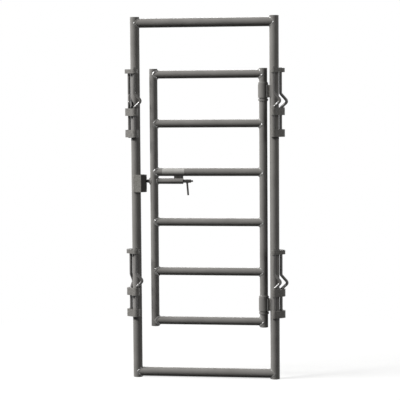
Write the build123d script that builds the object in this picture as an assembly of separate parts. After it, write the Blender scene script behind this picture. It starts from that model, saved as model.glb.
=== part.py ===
from build123d import *
import os
from math import atan2, cos, degrees, pi, radians, sin, sqrt, tan

# Alley control gate: a welded round-tube frame with a two-way swinging gate, in millimetres.
# The origin is the centre of the hinge post's foot, +X runs from the latch post to the hinge post,
# +Y runs from the front to the back and +Z is up.

# Frame of two posts and two rails
frame_height = 1981.0
post_spacing = 762.0
frame_tube_diameter = 50.8
frame_tube_wall = 2.8
frame_top_overrun = 8.0
frame_bottom_overrun = 4.0
foot_plate_thickness = 5.0

# Gate of two uprights and its rails
gate_tube_diameter = 44.5
gate_tube_wall = 2.5
gate_foot_height = 285.0
gate_head_gap = 282.5
gate_rail_overrun = 8.75
gate_rail_shares = [0, 0.202, 0.403, 0.606, 0.802, 1]
hinge_offset = 60.0
latch_offset = 100.5

# Gap left for the weld root wherever one tube is coped to another
weld_gap = 0.2

# Hinges: sleeves on the hinge post, collars on the gate's upright
hinge_inset = 90.0
sleeve_diameter = 57.0
sleeve_play = 1.0
sleeve_length = 71.0
collar_diameter = 54.0
collar_height = 11.0
collar_seat = 0.3
collar_slack = 5.0
hinge_tab_depth = 36.0
hinge_tab_margin = 2.0

# Slide-bolt latch under one of the gate's rails
latch_rail_number = 4
latch_drop = 49.5
latch_sleeve_diameter = 31.8
latch_sleeve_reach = 161.0
latch_sleeve_nose = 4.0
bolt_diameter = 19.0
bolt_play = 0.5
bolt_clearance = 2.5
bolt_end_reach = 203.5
bolt_stub_diameter = 10.0
bolt_stub_length = 11.0
bolt_point_chamfer = 3.0
bracket_start = 110.5
bracket_length = 50.0
bracket_thickness = 10.0
handle_diameter = 10.5
handle_reach = 181.6
handle_drop = 78.0
handle_lean = 4.4
handle_tip_chamfer = 1.5

# Catch: a plate bent round the latch post's inner side
catch_thickness = 6.0
catch_height = 95.0
catch_drop = 12.5
catch_tail = 10.0
catch_corner = 32.0
catch_nose = 57.0
catch_nose_half_width = 17.0
catch_bend_radius = 9.0
catch_slot_width = 24.0
catch_slot_height = 66.0
catch_slot_rise = 2.0

# Connector stations: three strap lugs and two drop pins, at two heights on each post
upper_station_drop = 517.0
lower_station_rise = 477.0
top_lug_pitch = 222.0
bottom_lug_pitch = 117.5
top_lug_height = 23.0
lug_height = 41.0
lug_thickness = 8.0
lug_tail = 6.0

# Drop pins: round bar with a V-shaped lifting kink that rests on the middle lug
pin_diameter = 15.9
pin_post_gap = 1.05
front_pin_play = 0.5
outboard_pin_play = 7.15
pin_seat = 0.3
pin_stand = 5.0
pin_foot_inset = 3.0
pin_point_chamfer = 2.5
kink_reach = 38.0
kink_upper_rise = 43.0
kink_lower_rise = 35.0
kink_bend_radius = 14.0

# Way each kink points, in degrees from straight outboard, positive towards the back
hinge_front_kink_heading = 0.0
hinge_outboard_kink_heading = 0.0
latch_front_kink_heading = -180.0
latch_upper_outboard_kink_heading = -100.0
latch_lower_outboard_kink_heading = 101.0

# Places worked out from the sizes above
post_radius = frame_tube_diameter / 2
gate_radius = gate_tube_diameter / 2
pin_radius = pin_diameter / 2
pin_offset = post_radius + pin_post_gap + pin_radius
hinge_post_x = 0
latch_post_x = -post_spacing
hinge_axis_x = -hinge_offset
latch_upright_x = latch_post_x + latch_offset
gate_head_height = frame_height - gate_head_gap
gate_height = gate_head_height - gate_foot_height
first_rail_height = gate_foot_height + gate_rail_overrun + gate_radius
last_rail_height = gate_head_height - gate_rail_overrun - gate_radius
rail_span = last_rail_height - first_rail_height
gate_rail_heights = [first_rail_height + share * rail_span for share in gate_rail_shares]
latch_rail_height = gate_rail_heights[latch_rail_number - 1]
latch_height = latch_rail_height - latch_drop
upper_station = frame_height - upper_station_drop
lower_station = lower_station_rise

quarter_turn = 90
half_turn = 180
upright_align = (Align.CENTER, Align.CENTER, Align.MIN)
os.makedirs("parts", exist_ok=True)


def save(node, *solids):
    """Write one node's solids to its own file."""
    shape = solids[0] if len(solids) == 1 else Compound(children=list(solids))
    export_step(shape, f"parts/{node}.step")


def rod(diameter, length):
    """Upright solid round bar standing on the XY plane."""
    return Cylinder(diameter / 2, length, align=upright_align)


def tube(diameter, bore, length):
    """Upright round tube standing on the XY plane."""
    return rod(diameter, length) - rod(bore, length)


def lying(shape):
    """Turn an upright shape to run along +X."""
    return Rot(0, quarter_turn, 0) * shape


def coped_rail(start_x, end_x, height, diameter, wall):
    """Tube between two uprights of its own diameter, its ends cut to sit round them."""
    length = end_x - start_x
    straight = Pos(start_x, 0, height) * lying(tube(diameter, diameter - 2 * wall, length))
    cope = Pos(0, 0, height - diameter) * rod(diameter + 2 * weld_gap, 2 * diameter)
    return straight - Pos(start_x, 0, 0) * cope - Pos(end_x, 0, 0) * cope


def bent_strap(corners, bend_radii, thickness, height):
    """Flat bar on edge, centred on the XY plane, bent along a line of corners."""
    path = FilletPolyline(*corners, radius=bend_radii)
    section = Plane(origin=path @ 0, z_dir=path % 0, x_dir=(0, 0, 1))
    return sweep(section * Rectangle(height, thickness), path=path)


# Frame
for node, post_x in (("latch_post", latch_post_x), ("hinge_post", hinge_post_x)):
    bore_length = frame_height - foot_plate_thickness
    bore = Pos(0, 0, foot_plate_thickness) * rod(frame_tube_diameter - 2 * frame_tube_wall, bore_length)
    save(node, Pos(post_x, 0, 0) * (rod(frame_tube_diameter, frame_height) - bore))

for node, height in (
    ("frame_bottom_rail", frame_bottom_overrun + post_radius),
    ("frame_top_rail", frame_height - frame_top_overrun - post_radius),
):
    save(node, coped_rail(latch_post_x, hinge_post_x, height, frame_tube_diameter, frame_tube_wall))


# Hinges: the collar above each sleeve carries the gate
def make_hinge(name, sleeve_foot):
    sleeve_bore = gate_tube_diameter + 2 * sleeve_play
    axis_place = Pos(hinge_axis_x, 0, sleeve_foot)
    save(f"{name}_hinge_sleeve", axis_place * tube(sleeve_diameter, sleeve_bore, sleeve_length))

    block = Box(hinge_offset, hinge_tab_depth, sleeve_length - 2 * hinge_tab_margin)
    middle = Pos(hinge_axis_x + hinge_offset / 2, 0, sleeve_foot + sleeve_length / 2)
    sleeve_cope = axis_place * rod(sleeve_diameter + 2 * weld_gap, sleeve_length)
    post_cope = Pos(hinge_post_x, 0, sleeve_foot) * rod(frame_tube_diameter + 2 * weld_gap, sleeve_length)
    save(f"{name}_hinge_tab", middle * block - sleeve_cope - post_cope)

    collar = tube(collar_diameter, gate_tube_diameter + 2 * weld_gap, collar_height)
    top_foot = sleeve_foot + sleeve_length + collar_seat
    bottom_foot = sleeve_foot - collar_slack - collar_height
    save(f"{name}_hinge_top_collar", Pos(hinge_axis_x, 0, top_foot) * collar)
    save(f"{name}_hinge_bottom_collar", Pos(hinge_axis_x, 0, bottom_foot) * collar)


make_hinge("upper", gate_head_height - hinge_inset - sleeve_length)
make_hinge("lower", gate_foot_height + hinge_inset)

# Gate
gate_bore = gate_tube_diameter - 2 * gate_tube_wall
upright = tube(gate_tube_diameter, gate_bore, gate_height)
save("gate_hinge_upright", Pos(hinge_axis_x, 0, gate_foot_height) * upright)

latch_sleeve_foot = latch_upright_x - gate_radius - latch_sleeve_nose
latch_sleeve_length = latch_upright_x + latch_sleeve_reach - latch_sleeve_foot
latch_sleeve_place = Pos(latch_sleeve_foot, 0, latch_height)
sleeve_hole = latch_sleeve_place * lying(rod(latch_sleeve_diameter + 2 * weld_gap, latch_sleeve_length))
save("gate_latch_upright", Pos(latch_upright_x, 0, gate_foot_height) * upright - sleeve_hole)

for number, height in enumerate(gate_rail_heights, start=1):
    rail = coped_rail(latch_upright_x, hinge_axis_x, height, gate_tube_diameter, gate_tube_wall)
    save(f"gate_rail_{number}", rail)

# Latch
guide_bore = bolt_diameter + 2 * bolt_play
guide = lying(tube(latch_sleeve_diameter, guide_bore, latch_sleeve_length))
save("latch_sleeve", latch_sleeve_place * guide)

bracket_middle = latch_upright_x + bracket_start + bracket_length / 2
bracket = Box(bracket_length, bracket_thickness, latch_drop)
bracket = Pos(bracket_middle, 0, latch_height + latch_drop / 2) * bracket
latch_rail_cope = lying(rod(gate_tube_diameter + 2 * weld_gap, gate_height))
bracket -= Pos(latch_upright_x, 0, latch_rail_height) * latch_rail_cope
save("latch_bracket", bracket - sleeve_hole)

catch_nose_x = latch_post_x + catch_nose
bolt_tip_x = catch_nose_x + bolt_clearance
bolt_length = latch_upright_x + bolt_end_reach - bolt_tip_x
bolt_body = chamfer(rod(bolt_diameter, bolt_length).edges().group_by(Axis.Z)[0], bolt_point_chamfer)
bolt_stub = Pos(0, 0, bolt_length) * rod(bolt_stub_diameter, bolt_stub_length)
bolt_place = Pos(bolt_tip_x, 0, latch_height)
save("latch_bolt", bolt_place * lying(bolt_body + bolt_stub))

handle_rod = rod(handle_diameter, handle_drop)
handle_rod = chamfer(handle_rod.edges().group_by(Axis.Z)[-1], handle_tip_chamfer)
handle_place = Pos(latch_upright_x + handle_reach, 0, latch_height)
handle_cope = bolt_place * lying(rod(bolt_diameter + 2 * weld_gap, bolt_length))
save("latch_handle", handle_place * Rot(0, half_turn - handle_lean, 0) * handle_rod - handle_cope)

# Catch
catch_leg = post_radius + weld_gap + catch_thickness / 2
catch_nose_line = catch_nose - catch_thickness / 2
catch_corners = [
    (-catch_tail, -catch_leg),
    (catch_corner, -catch_leg),
    (catch_nose_line, -catch_nose_half_width),
    (catch_nose_line, catch_nose_half_width),
    (catch_corner, catch_leg),
    (-catch_tail, catch_leg),
]
catch_plate = bent_strap(catch_corners, catch_bend_radius, catch_thickness, catch_height)
catch_slot = Box(catch_nose, catch_slot_width, catch_slot_height)
catch_plate -= Pos(catch_nose_line, 0, catch_slot_rise) * catch_slot
save("latch_catch", Pos(latch_post_x, 0, latch_height - catch_drop) * catch_plate)

# Lugs: a strap starts at the post's front, turns round the front pin, runs across to the outboard
# pin, turns round that and ends at the post's side. Drawn for +X outboard, mirrored for the other post.
front_bend = pin_radius + front_pin_play + lug_thickness / 2
outboard_bend = pin_radius + outboard_pin_play + lug_thickness / 2
pin_to_pin = pin_offset * sqrt(2)
strap_lean = (front_bend - outboard_bend) / pin_to_pin
strap_square = sqrt(1 - strap_lean**2)
strap_normal_x = (strap_square + strap_lean) / sqrt(2)
strap_normal_y = (strap_lean - strap_square) / sqrt(2)
strap_distance = front_bend - strap_normal_y * pin_offset
strap_heading = degrees(atan2(strap_normal_y, strap_normal_x))
lug_corners = [
    (-front_bend, -lug_tail),
    (-front_bend, (strap_distance + strap_normal_x * front_bend) / strap_normal_y),
    ((strap_distance - strap_normal_y * outboard_bend) / strap_normal_x, outboard_bend),
    (lug_tail, outboard_bend),
]


def lug(height):
    """One strap lug round the post's axis, cut to sit on the post."""
    strap = bent_strap(lug_corners, [front_bend, outboard_bend], lug_thickness, height)
    return strap - Pos(0, 0, -height) * rod(frame_tube_diameter + 2 * weld_gap, 2 * height)


# Pins: the kink's lower leg rests on the inner top edge of the middle lug
lower_leg_angle = atan2(kink_lower_rise, kink_reach)
lower_bend_run = kink_bend_radius * tan((pi / 2 - lower_leg_angle) / 2)
seat_radius = pin_radius + pin_seat
seat_shares = [-0.9, -0.7, -0.5, -0.3, -0.1, 0.1, 0.3, 0.5, 0.7, 0.9]
pin_up = top_lug_pitch + top_lug_height / 2 - lug_height / 2 + pin_stand
pin_down = bottom_lug_pitch + lug_height - pin_foot_inset


def seat_height(inner_radius, turn):
    """Height of the kink's foot over a lug whose inner top edge faces the kink at a turn in degrees."""
    rises = []
    for share in seat_shares:
        aside = share * seat_radius
        bar_side = sqrt(seat_radius**2 - aside**2)
        if turn == 0:
            edge = sqrt(inner_radius**2 - aside**2)
        else:
            edge = inner_radius / cos(radians(turn)) - aside * tan(radians(turn))
        bend_side = kink_bend_radius - bar_side
        if edge < kink_bend_radius - bend_side * sin(lower_leg_angle):
            rises.append(sqrt(bend_side**2 - (kink_bend_radius - edge) ** 2) - lower_bend_run)
        else:
            rises.append(edge * tan(lower_leg_angle) - bar_side / cos(lower_leg_angle))
    return -min(rises)


def kinked_pin():
    """Drop pin with the kink's foot at the origin and the kink towards +X."""
    corners = [
        (0, 0, -pin_down),
        (0, 0, 0),
        (kink_reach, 0, kink_lower_rise),
        (0, 0, kink_lower_rise + kink_upper_rise),
        (0, 0, pin_up),
    ]
    lengths = []
    for edge in FilletPolyline(*corners, radius=kink_bend_radius).edges():
        start = edge % 0
        end = edge % 1
        section = Plane(origin=edge @ 0, z_dir=start) * Circle(pin_radius)
        if edge.geom_type == GeomType.LINE:
            lengths.append(extrude(section, amount=edge.length))
        else:
            lengths.append(revolve(section, Axis(edge.arc_center, start.cross(end)), start.get_angle(end)))
    bar = lengths[0] + lengths[1:]
    return chamfer(bar.edges().group_by(Axis.Z)[0], pin_point_chamfer)


def make_station(post, post_x, outboard, level, height, front_heading, outboard_heading):
    """Three lugs and two pins on one post at one height; outboard is 1 towards +X and -1 towards -X."""
    place = Pos(post_x, 0, height)
    low_lug = Pos(0, 0, -bottom_lug_pitch) * lug(lug_height)
    middle_lug = lug(lug_height)
    top_lug = Pos(0, 0, top_lug_pitch) * lug(top_lug_height)
    front_turn = max(0, -half_turn - front_heading, front_heading - strap_heading)
    outboard_turn = max(0, strap_heading - outboard_heading, outboard_heading - quarter_turn)
    front_foot = lug_height / 2 + seat_height(front_bend - lug_thickness / 2, front_turn)
    outboard_foot = lug_height / 2 + seat_height(outboard_bend - lug_thickness / 2, outboard_turn)
    front_pin = Pos(0, -pin_offset, front_foot) * Rot(0, 0, front_heading) * kinked_pin()
    outboard_pin = Pos(pin_offset, 0, outboard_foot) * Rot(0, 0, outboard_heading) * kinked_pin()
    pieces = [low_lug, middle_lug, top_lug, front_pin, outboard_pin]
    if outboard < 0:
        pieces = [mirror(piece, about=Plane.YZ) for piece in pieces]
    placed = [place * piece for piece in pieces]
    save(f"{post}_{level}_lugs", *placed[:3])
    save(f"{post}_{level}_front_pin", placed[3])
    save(f"{post}_{level}_outboard_pin", placed[4])


for level, height, outboard_heading in (
    ("upper", upper_station, latch_upper_outboard_kink_heading),
    ("lower", lower_station, latch_lower_outboard_kink_heading),
):
    latch_headings = (latch_front_kink_heading, outboard_heading)
    hinge_headings = (hinge_front_kink_heading, hinge_outboard_kink_heading)
    make_station("latch", latch_post_x, -1, level, height, *latch_headings)
    make_station("hinge", hinge_post_x, 1, level, height, *hinge_headings)
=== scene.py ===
from math import atan2, cos, pi, radians, sin, sqrt

import bmesh
import bpy
from mathutils import Matrix, Vector


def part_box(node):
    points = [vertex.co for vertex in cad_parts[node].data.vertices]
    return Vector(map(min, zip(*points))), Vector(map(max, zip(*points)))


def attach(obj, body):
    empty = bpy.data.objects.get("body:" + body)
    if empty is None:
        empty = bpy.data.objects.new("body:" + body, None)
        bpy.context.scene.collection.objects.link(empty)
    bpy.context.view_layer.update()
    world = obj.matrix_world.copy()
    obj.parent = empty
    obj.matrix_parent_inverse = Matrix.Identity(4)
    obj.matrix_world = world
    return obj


# Alley control gate: grey enamel on welded steel tube, with its weld beads, in a plain studio.
# Metres, in the gate's own frame: the origin is the hinge post's foot, +X runs from the latch post
# to the hinge post, +Y from the front to the back and +Z up.

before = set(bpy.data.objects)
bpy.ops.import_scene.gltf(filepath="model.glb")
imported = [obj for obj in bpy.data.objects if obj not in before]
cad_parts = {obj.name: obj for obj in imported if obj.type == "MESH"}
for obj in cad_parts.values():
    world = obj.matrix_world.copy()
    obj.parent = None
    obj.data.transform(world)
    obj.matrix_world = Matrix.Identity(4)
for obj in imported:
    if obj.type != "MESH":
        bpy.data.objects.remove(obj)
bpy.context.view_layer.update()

mm = 0.001

# Weld beads: leg of each bead at an open corner, and how deep a bead is sunk into two coped tubes
frame_bead = 3.0 * mm
frame_sink = 3.0 * mm
gate_bead = 6.0 * mm
gate_sink = 5.0 * mm
guide_bead = 4.4 * mm
collar_bead = 2.6 * mm
tab_bead = 4.0 * mm
strap_bead = 2.8 * mm
catch_bead = 3.6 * mm
bracket_bead = 3.0 * mm
handle_bead = 2.0 * mm

# Stitches that hold the catch to its post
catch_stitch = 24 * mm
catch_lift = 1.2 * mm

# How beads are laid: ripples, rise where two tubes run flush, rounding at open ends, fineness
ripple_pitch = 5.0 * mm
ripple_share = 0.03
flush_rise = 1.6 * mm
flush_power = 4
end_taper = 3.0 * mm
end_share = 0.35
bead_sides = 16
steps_per_ripple = 4

# Height between two strap lugs that parts one from the next, and the turn above which an edge is crisp
lug_break = 50 * mm
sharp_turn = radians(40)

# Blank film patch on the front of the latch rail
patch_start = 47 * mm
patch_length = 122 * mm
patch_film = 0.3 * mm
patch_lift = 0.05 * mm
patch_sweep = radians(96)
patch_tilt = radians(14)
patch_corner = 5 * mm
patch_corner_steps = 4
patch_bends = 16

# Films: how sharply thin and thick parts differ, how far the skin changes the gloss, streaks along a bar
cloud_low = 0.32
cloud_high = 0.68
cloud_detail = 4
cloud_roughness = 0.6
skin_low = 0.3
skin_high = 0.7
skin_detail = 2
skin_strength = 0.35
gloss_smoother = 0.05
gloss_rougher = 0.07
streak_share = 0.12

# Painted shade: a dark colour on the catch's nose, the side that faces away from the key
nose_shade_black = "#33312f"
nose_shade_reach = 23 * mm
nose_shade_blend = 4 * mm

# Camera as fitted to the photograph, on a square picture
picture_size = 400
sensor_width = 36.0
focal_pixels = 1460.24
camera_turn = radians(7.461)
camera_pitch = radians(4.055)
camera_roll = radians(-0.413)
camera_distance = 7988.3 * mm
camera_target = Vector((-401.07 * mm, 0, 996.58 * mm))
centre_right = 1.43
centre_down = -2.72

# Studio: a broad key from the upper left, and weak fills from the right and the back
key_turn = radians(-68)
key_rise = radians(38)
key_width = 6.0
key_height = 3.0
key_power = 4200
fill_turn = radians(80)
fill_rise = radians(20)
fill_width = 6.0
fill_power = 650
back_turn = radians(-172)
back_rise = radians(26)
back_width = 7.2
back_power = 850
lamp_distance = 15.0

# White surround, and paper on the floor that shows its shade near the gate and white farther out
white = "#ffffff"
surround_strength = 0.06
paper_pale = "#f2f2f0"
paper_dull = "#242424"
floor_size = 6.0
floor_shade_reach = 0.6
floor_white_reach = 2.4
floor_glow_share = 0.76

# Sockets of a Mix node that mixes colours
mix_share = 0
mix_first = 6
mix_second = 7
mix_result = 2


def linear(colour):
    """Linear RGBA of an sRGB hex colour."""
    channels = [int(colour[i:i + 2], 16) / 255 for i in (1, 3, 5)]
    return [c / 12.92 if c <= 0.04045 else ((c + 0.055) / 1.055) ** 2.4 for c in channels] + [1.0]


def add_node(tree, kind, values=None, links=None, **settings):
    """Add a shader node with its settings, its inputs' values and its inputs' links."""
    node = tree.nodes.new(kind)
    for name, value in settings.items():
        setattr(node, name, value)
    for name, value in (values or {}).items():
        node.inputs[name].default_value = value
    for name, socket in (links or {}).items():
        tree.links.new(socket, node.inputs[name])
    return node


def new_material(name):
    """An empty material with its node tree and output node."""
    material = bpy.data.materials.new(name)
    material.use_nodes = True
    tree = material.node_tree
    tree.nodes.clear()
    return material, tree, tree.nodes.new("ShaderNodeOutputMaterial")


def film_finish(name, thin, thick, cloud, stretch, peel, peel_height, roughness, specular, painted_shade=None):
    """Clouds of thinner and thicker film, even or drawn out along one axis, with a fine skin.

    Painted shade is a dark colour, the X where it starts and the X where it is full; it paints the shade on
    a side that faces away from the light."""
    material, tree, output = new_material(name)
    place = add_node(tree, "ShaderNodeTexCoord").outputs["Object"]
    drawn = add_node(tree, "ShaderNodeMapping", {"Scale": stretch}, {"Vector": place})
    clouds = add_node(tree, "ShaderNodeTexNoise",
                      {"Scale": 1 / cloud, "Detail": cloud_detail, "Roughness": cloud_roughness},
                      {"Vector": drawn.outputs["Vector"]})
    film = add_node(tree, "ShaderNodeMapRange", {"From Min": cloud_low, "From Max": cloud_high},
                    {"Value": clouds.outputs["Fac"]})
    colour = add_node(tree, "ShaderNodeMix", {mix_first: linear(thin), mix_second: linear(thick)},
                      {mix_share: film.outputs["Result"]}, data_type="RGBA").outputs[mix_result]
    # Painted shade: darkens the colour past an X, on a side that faces away from the light
    if painted_shade:
        dark, start, full = painted_shade
        along = add_node(tree, "ShaderNodeSeparateXYZ", links={"Vector": place}).outputs["X"]
        shaded = add_node(tree, "ShaderNodeMapRange", {"From Min": start, "From Max": full},
                           {"Value": along})
        colour = add_node(tree, "ShaderNodeMix", {mix_second: linear(dark)},
                          {mix_share: shaded.outputs["Result"], mix_first: colour},
                          data_type="RGBA").outputs[mix_result]
    grain = add_node(tree, "ShaderNodeTexNoise", {"Scale": 1 / peel, "Detail": skin_detail},
                     {"Vector": place})
    gloss = add_node(tree, "ShaderNodeMapRange",
                     {"From Min": skin_low, "From Max": skin_high,
                      "To Min": roughness - gloss_smoother, "To Max": roughness + gloss_rougher},
                     {"Value": grain.outputs["Fac"]})
    skin = add_node(tree, "ShaderNodeBump", {"Strength": skin_strength, "Distance": peel_height},
                    {"Height": grain.outputs["Fac"]})
    paint = add_node(tree, "ShaderNodeBsdfPrincipled", {"Specular IOR Level": specular},
                     {"Base Color": colour, "Roughness": gloss.outputs["Result"],
                      "Normal": skin.outputs["Normal"]})
    tree.links.new(paint.outputs["BSDF"], output.inputs["Surface"])
    return material


# Finishes, each with a skin that is drawn coarser than the real one so that it shows
# Past this X, the catch's nose gets painted shade
catch_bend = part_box("latch_catch")[1].x - nose_shade_reach
even = (1, 1, 1)
along_x = (streak_share, 1, 1)
along_z = (1, 1, streak_share)

# Sprayed grey enamel on drawn tube: an even satin film with soft clouds and a faint orange peel
tube_enamel = film_finish(
    "enamel_sprayed_on_tube", thin="#817f7c", thick="#787673", cloud=90 * mm, stretch=even,
    peel=9 * mm, peel_height=0.2 * mm, roughness=0.2, specular=0.08)
# Sprayed grey enamel on hot-rolled flat bar: mill scale under the film leaves it blotchy and duller
bar_enamel = film_finish(
    "enamel_sprayed_on_flat_bar", thin="#807e7a", thick="#605e5b", cloud=9 * mm, stretch=even,
    peel=4 * mm, peel_height=0.3 * mm, roughness=0.4, specular=0.2)
# Sprayed grey enamel on cold-bent plate: paler, with fine dark flecks, and painted shade on the nose, which
# faces away from the key
plate_enamel = film_finish(
    "enamel_sprayed_on_bent_plate", thin="#a3a19b", thick="#7c7a75", cloud=8 * mm, stretch=even,
    peel=4 * mm, peel_height=0.3 * mm, roughness=0.4, specular=0.2,
    painted_shade=(nose_shade_black, catch_bend - nose_shade_blend, catch_bend))
# Sprayed grey enamel over weld beads: thick wet film that pools and shines on the ripples
weld_enamel = film_finish(
    "enamel_pooled_on_weld", thin="#817f7b", thick="#757370", cloud=16 * mm, stretch=even,
    peel=3 * mm, peel_height=0.05 * mm, roughness=0.15, specular=0.9)
# Enamel on bent round bar: darker than on the tube, with streaks down the bar
pin_enamel = film_finish(
    "dark_enamel_on_round_bar", thin="#6a6865", thick="#504e4c", cloud=22 * mm, stretch=along_z,
    peel=6 * mm, peel_height=0.15 * mm, roughness=0.2, specular=0.5)
# Oiled bright-drawn steel bar, darkened by handling: low sheen with streaks along the bolt
bolt_steel = film_finish(
    "oiled_steel_bar", thin="#4b4947", thick="#393836", cloud=18 * mm, stretch=along_x,
    peel=5 * mm, peel_height=0.1 * mm, roughness=0.34, specular=0.3)
# Calendered vinyl film, blank: smooth and pale, with faint clouds of dust
vinyl_film = film_finish(
    "vinyl_film", thin="#aaa9a5", thick="#9a9995", cloud=30 * mm, stretch=even,
    peel=12 * mm, peel_height=0.05 * mm, roughness=0.5, specular=0.12)

bar_nodes = ["latch_bracket", "upper_hinge_tab", "lower_hinge_tab"]
for name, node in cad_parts.items():
    if name.endswith("_pin"):
        finish = pin_enamel
    elif name in ("latch_bolt", "latch_handle"):
        finish = bolt_steel
    elif name == "latch_catch":
        finish = plate_enamel
    elif name in bar_nodes or name.endswith("_lugs"):
        finish = bar_enamel
    else:
        finish = tube_enamel
    node.data.materials.clear()
    node.data.materials.append(finish)


def middle(node):
    """Centre of a CAD node's box."""
    low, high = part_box(node)
    return (low + high) / 2


def half_size(node):
    """Half the size of a CAD node's box, along each axis."""
    low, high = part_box(node)
    return (high - low) / 2


def lay(weld, bead):
    """Put a finished bead into a weld group."""
    bmesh.ops.recalc_face_normals(bead, faces=bead.faces[:])
    laid = bpy.data.meshes.new("bead")
    bead.to_mesh(laid)
    bead.free()
    weld.from_mesh(laid)
    bpy.data.meshes.remove(laid)


def ring_bead(weld, centre, along, ring, leg, cope=0.0, sink=0.0):
    """Closed bead round a tube's end; cope is the radius of the tube that the bead runs up onto.

    A bead that is sunk into both tubes shows a broad, nearly flat face."""
    bead = bmesh.new()
    ring -= sink
    cope -= sink
    size = sqrt((leg + sink) ** 2 + sink ** 2)
    flush_share = (sink + flush_rise) / size
    start = Vector((0, 1, 0))
    across = along.cross(start)
    section = Matrix((start, along, start.cross(along))).transposed().to_4x4()
    section.translation = centre + start * ring
    bmesh.ops.create_circle(bead, segments=bead_sides, radius=size, matrix=section)
    ripples = round(2 * pi * ring / ripple_pitch)
    bmesh.ops.spin(bead, geom=bead.verts[:] + bead.edges[:], cent=centre, axis=along, angle=2 * pi,
                   steps=ripples * steps_per_ripple, use_merge=True)
    for vertex in bead.verts:
        out = vertex.co - centre
        turn = atan2(out.dot(across), out.dot(start))
        line = ring * (cos(turn) * start + sin(turn) * across)
        swell = 1 + ripple_share * cos(ripples * turn)
        if cope > 0:
            swell *= 1 - (1 - flush_share) * (ring / cope * cos(turn)) ** flush_power
        run_up = along * sqrt(max(0, cope ** 2 - line.y ** 2)) if cope > 0 else Vector()
        vertex.co = centre + line + (out - line) * swell + run_up
    lay(weld, bead)


def line_bead(weld, start, end, size):
    """Open bead along a straight line, rounded down at both ends."""
    bead = bmesh.new()
    run = end - start
    heading = run.normalized()
    section = heading.to_track_quat("Z", "Y").to_matrix().to_4x4()
    section.translation = start
    bmesh.ops.create_circle(bead, cap_ends=True, segments=bead_sides, radius=size, matrix=section)
    steps = round(run.length / ripple_pitch * steps_per_ripple)
    bmesh.ops.spin(bead, geom=bead.verts[:] + bead.edges[:] + bead.faces[:], cent=start, axis=heading,
                   dvec=run / steps, angle=0, steps=steps)
    for vertex in bead.verts:
        reach = (vertex.co - start).dot(heading)
        line = start + heading * reach
        from_end = min(1, max(0, min(reach, run.length - reach)) / end_taper)
        rounding = end_share + (1 - end_share) * sqrt(from_end * (2 - from_end))
        swell = 1 + ripple_share * cos(2 * pi * reach / ripple_pitch)
        vertex.co = line + (vertex.co - line) * swell * rounding
    lay(weld, bead)


def show(name, shape, body, finish):
    """Make one piece of a finished shape, on its body."""
    for face in shape.faces:
        face.smooth = True
    for edge in shape.edges:
        edge.smooth = edge.calc_face_angle(0) < sharp_turn
    mesh = bpy.data.meshes.new(name)
    shape.to_mesh(mesh)
    shape.free()
    mesh.materials.append(finish)
    piece = bpy.data.objects.new(name, mesh)
    bpy.context.scene.collection.objects.link(piece)
    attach(piece, body)


# Coped corners of the frame and of the gate
gate_rails = sorted(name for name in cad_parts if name.startswith("gate_rail_"))
for name, body, slot, bead, sink, uprights, rails in (
    ("frame_corner_welds", "frame", "frame_paint", frame_bead, frame_sink,
     ("latch_post", "hinge_post"), ("frame_bottom_rail", "frame_top_rail")),
    ("gate_rail_welds", "gate", "gate_paint", gate_bead, gate_sink,
     ("gate_latch_upright", "gate_hinge_upright"), gate_rails),
):
    weld = bmesh.new()
    for rail in rails:
        for upright, side in zip(uprights, (1, -1)):
            corner = Vector((middle(upright).x, 0, middle(rail).z))
            ring_bead(weld, corner, Vector((side, 0, 0)), half_size(rail).z, bead,
                      half_size(upright).y, sink)
    show(name, weld, body, weld_enamel)

# Hinge tabs to sleeve and post, and collars to the hinge upright
post_x = middle("hinge_post").x
post_radius = half_size("hinge_post").y
upright_radius = half_size("gate_hinge_upright").y
tab_weld = bmesh.new()
collar_weld = bmesh.new()
for hinge in ("upper", "lower"):
    sleeve = f"{hinge}_hinge_sleeve"
    low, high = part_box(f"{hinge}_hinge_tab")
    for face_y in (low.y, high.y):
        for line_x in (
            middle(sleeve).x + sqrt(half_size(sleeve).y ** 2 - face_y ** 2),
            post_x - sqrt(post_radius ** 2 - face_y ** 2),
        ):
            line_bead(tab_weld, Vector((line_x, face_y, low.z)), Vector((line_x, face_y, high.z)), tab_bead)
    for end, side in (("top", 1), ("bottom", -1)):
        collar = middle(f"{hinge}_hinge_{end}_collar")
        collar.z += side * half_size(f"{hinge}_hinge_{end}_collar").z
        ring_bead(collar_weld, collar, Vector((0, 0, side)), upright_radius, collar_bead)
show("hinge_tab_welds", tab_weld, "frame", weld_enamel)
show("hinge_collar_welds", collar_weld, "gate", weld_enamel)

# Strap lugs to the posts: one bead where the strap leaves the front, one where it ends at the side
lug_weld = bmesh.new()
for post, outward in (("latch", -1), ("hinge", 1)):
    axis_x = middle(f"{post}_post").x
    for level in ("upper", "lower"):
        lugs = f"{post}_{level}_lugs"
        low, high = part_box(lugs)
        front_x = (low.x if outward > 0 else high.x) - axis_x
        front_y = -sqrt(post_radius ** 2 - front_x ** 2)
        side_y = high.y
        side_x = outward * sqrt(post_radius ** 2 - side_y ** 2)
        heights = sorted(vertex.co.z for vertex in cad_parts[lugs].data.vertices)
        breaks = [i for i in range(1, len(heights)) if heights[i] - heights[i - 1] > lug_break]
        for first, last in zip([0] + breaks, breaks + [len(heights)]):
            for line_x, line_y in ((front_x, front_y), (side_x, side_y)):
                line_bead(lug_weld, Vector((axis_x + line_x, line_y, heights[first])),
                          Vector((axis_x + line_x, line_y, heights[last - 1])), strap_bead)
show("lug_welds", lug_weld, "frame", weld_enamel)

# Catch to the latch post: two stitches along each flange's edge
catch_weld = bmesh.new()
low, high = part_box("latch_catch")
for side in (-1, 1):
    line_y = side * (post_radius + catch_lift)
    for stitch_z in (low.z, high.z - catch_stitch):
        line_bead(catch_weld, Vector((low.x, line_y, stitch_z)),
                  Vector((low.x, line_y, stitch_z + catch_stitch)), catch_bead)
show("catch_welds", catch_weld, "frame", weld_enamel)

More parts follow.
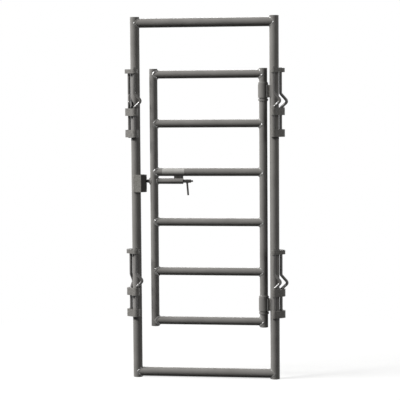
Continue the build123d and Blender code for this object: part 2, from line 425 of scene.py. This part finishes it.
# Bolt guide through the latch upright, and its bracket under the rail
guide_weld = bmesh.new()
guide_axis = middle("latch_sleeve")
guide_radius = half_size("latch_sleeve").y
latch_upright = middle("gate_latch_upright")
latch_rail = "gate_rail_4"
rail_radius = half_size(latch_rail).z
rail_z = middle(latch_rail).z
for side in (1, -1):
    ring_bead(guide_weld, Vector((latch_upright.x, 0, guide_axis.z)), Vector((side, 0, 0)), guide_radius,
              guide_bead, half_size("gate_latch_upright").y)
low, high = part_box("latch_bracket")
for face_y in (low.y, high.y):
    for line_z in (
        guide_axis.z + sqrt(guide_radius ** 2 - face_y ** 2),
        rail_z - sqrt(rail_radius ** 2 - face_y ** 2),
    ):
        line_bead(guide_weld, Vector((low.x, face_y, line_z)), Vector((high.x, face_y, line_z)),
                  bracket_bead)
show("bolt_guide_welds", guide_weld, "gate", weld_enamel)

# Handle to the bolt
handle_weld = bmesh.new()
handle_radius = half_size("latch_handle").y
handle_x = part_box("latch_handle")[0].x + handle_radius
ring_bead(handle_weld, Vector((handle_x, 0, middle("latch_bolt").z)), Vector((0, 0, -1)),
          handle_radius, handle_bead, half_size("latch_bolt").y)
show("handle_weld", handle_weld, "bolt", bolt_steel)

# Blank patch: a flat film with rounded corners, bent round the front of the rail
patch = bmesh.new()
patch_width = rail_radius * patch_sweep
bmesh.ops.create_grid(patch, x_segments=1, y_segments=1, size=0.5,
                      matrix=Matrix.Diagonal((patch_length, patch_width, 1, 1)))
bmesh.ops.bevel(patch, geom=patch.verts[:], offset=patch_corner, segments=patch_corner_steps, profile=0.5,
                affect="VERTICES", material=-1)
for bend in range(1, patch_bends):
    cut_y = patch_width * (bend / patch_bends - 0.5)
    bmesh.ops.bisect_plane(patch, geom=patch.verts[:] + patch.edges[:] + patch.faces[:],
                           plane_co=(0, cut_y, 0), plane_no=(0, 1, 0))
bmesh.ops.solidify(patch, geom=patch.faces[:], thickness=patch_film)
lowest = min(vertex.co.z for vertex in patch.verts)
for vertex in patch.verts:
    reach = rail_radius + patch_lift + vertex.co.z - lowest
    turn = patch_tilt + vertex.co.y / rail_radius
    patch_x = latch_upright.x + patch_start + patch_length / 2 + vertex.co.x
    vertex.co = Vector((patch_x, -reach * cos(turn), rail_z + reach * sin(turn)))
bmesh.ops.recalc_face_normals(patch, faces=patch.faces[:])
show("blank_patch", patch, "gate", vinyl_film)

# Camera
forward = Vector((-sin(camera_turn) * cos(camera_pitch), cos(camera_turn) * cos(camera_pitch),
                  -sin(camera_pitch)))
level_side = Vector((cos(camera_turn), sin(camera_turn), 0))
level_up = level_side.cross(forward)
camera_side = cos(camera_roll) * level_side + sin(camera_roll) * level_up
camera_up = cos(camera_roll) * level_up - sin(camera_roll) * level_side
camera = bpy.data.objects.new("camera", bpy.data.cameras.new("camera"))
camera.data.sensor_width = sensor_width
camera.data.lens = focal_pixels / picture_size * sensor_width
camera.data.shift_x = -centre_right / picture_size
camera.data.shift_y = centre_down / picture_size
camera.matrix_world = Matrix.Translation(camera_target - forward * camera_distance) @ Matrix(
    (camera_side, camera_up, -forward)).transposed().to_4x4()
bpy.context.scene.collection.objects.link(camera)
bpy.context.scene.camera = camera
bpy.context.scene.view_settings.view_transform = "Standard"


def softbox(name, turn, rise, power, width, height):
    """Soft lamp aimed at the gate's middle; turn is from the front towards +X."""
    lamp = bpy.data.lights.new(name, "AREA")
    lamp.shape = "RECTANGLE"
    lamp.energy = power
    lamp.size = width
    lamp.size_y = height
    holder = bpy.data.objects.new(name, lamp)
    away = Vector((sin(turn) * cos(rise), -cos(turn) * cos(rise), sin(rise)))
    holder.location = camera_target + away * lamp_distance
    holder.rotation_euler = (-away).to_track_quat("-Z", "Y").to_euler()
    bpy.context.scene.collection.objects.link(holder)


softbox("key", key_turn, key_rise, key_power, key_width, key_height)
softbox("fill", fill_turn, fill_rise, fill_power, fill_width, fill_width)
softbox("back", back_turn, back_rise, back_power, back_width, back_width)


def seen_directly(tree):
    """One for rays that show the background: straight to the camera, mirrored or through glass."""
    path = add_node(tree, "ShaderNodeLightPath").outputs
    mirrored = add_node(tree, "ShaderNodeMath", links={0: path["Is Camera Ray"], 1: path["Is Glossy Ray"]},
                        operation="MAXIMUM")
    through = add_node(tree, "ShaderNodeMath",
                       links={0: mirrored.outputs[0], 1: path["Is Transmission Ray"]}, operation="MAXIMUM")
    return through.outputs[0]


# White surround that gives only a little light
world = bpy.data.worlds.new("studio")
world.use_nodes = True
bpy.context.scene.world = world
sky = world.node_tree
sky.nodes.clear()
strength = add_node(sky, "ShaderNodeMapRange", {"To Min": surround_strength, "To Max": 1.0},
                    {"Value": seen_directly(sky)})
backdrop = add_node(sky, "ShaderNodeBackground", {"Color": linear(white)},
                    {"Strength": strength.outputs["Result"]})
sky.links.new(backdrop.outputs[0], add_node(sky, "ShaderNodeOutputWorld").inputs["Surface"])

# Matt background paper: shows white away from the gate, keeps the shadow and throws little light back
paper, tree, output = new_material("matt_paper")
pale = add_node(tree, "ShaderNodeBsdfDiffuse", {"Color": linear(paper_pale)})
dull = add_node(tree, "ShaderNodeBsdfDiffuse", {"Color": linear(paper_dull)})
glow = add_node(tree, "ShaderNodeEmission", {"Color": linear(white)})
spot = add_node(tree, "ShaderNodeTexCoord").outputs["Object"]
away = add_node(tree, "ShaderNodeVectorMath", links={0: spot}, operation="LENGTH")
fade = add_node(tree, "ShaderNodeMapRange",
                {"From Min": floor_shade_reach, "From Max": floor_white_reach, "To Min": floor_glow_share,
                 "To Max": 1.0}, {"Value": away.outputs["Value"]})
shown = add_node(tree, "ShaderNodeMixShader",
                 links={0: fade.outputs["Result"], 1: pale.outputs[0], 2: glow.outputs[0]})
either = add_node(tree, "ShaderNodeMixShader",
                  links={0: seen_directly(tree), 1: dull.outputs[0], 2: shown.outputs[0]})
tree.links.new(either.outputs[0], output.inputs["Surface"])
sheet = bmesh.new()
bmesh.ops.create_grid(sheet, x_segments=1, y_segments=1, size=floor_size / 2)
floor_mesh = bpy.data.meshes.new("floor")
sheet.to_mesh(floor_mesh)
sheet.free()
floor_mesh.materials.append(paper)
floor = bpy.data.objects.new("floor", floor_mesh)
floor.location.x = camera_target.x
bpy.context.scene.collection.objects.link(floor)
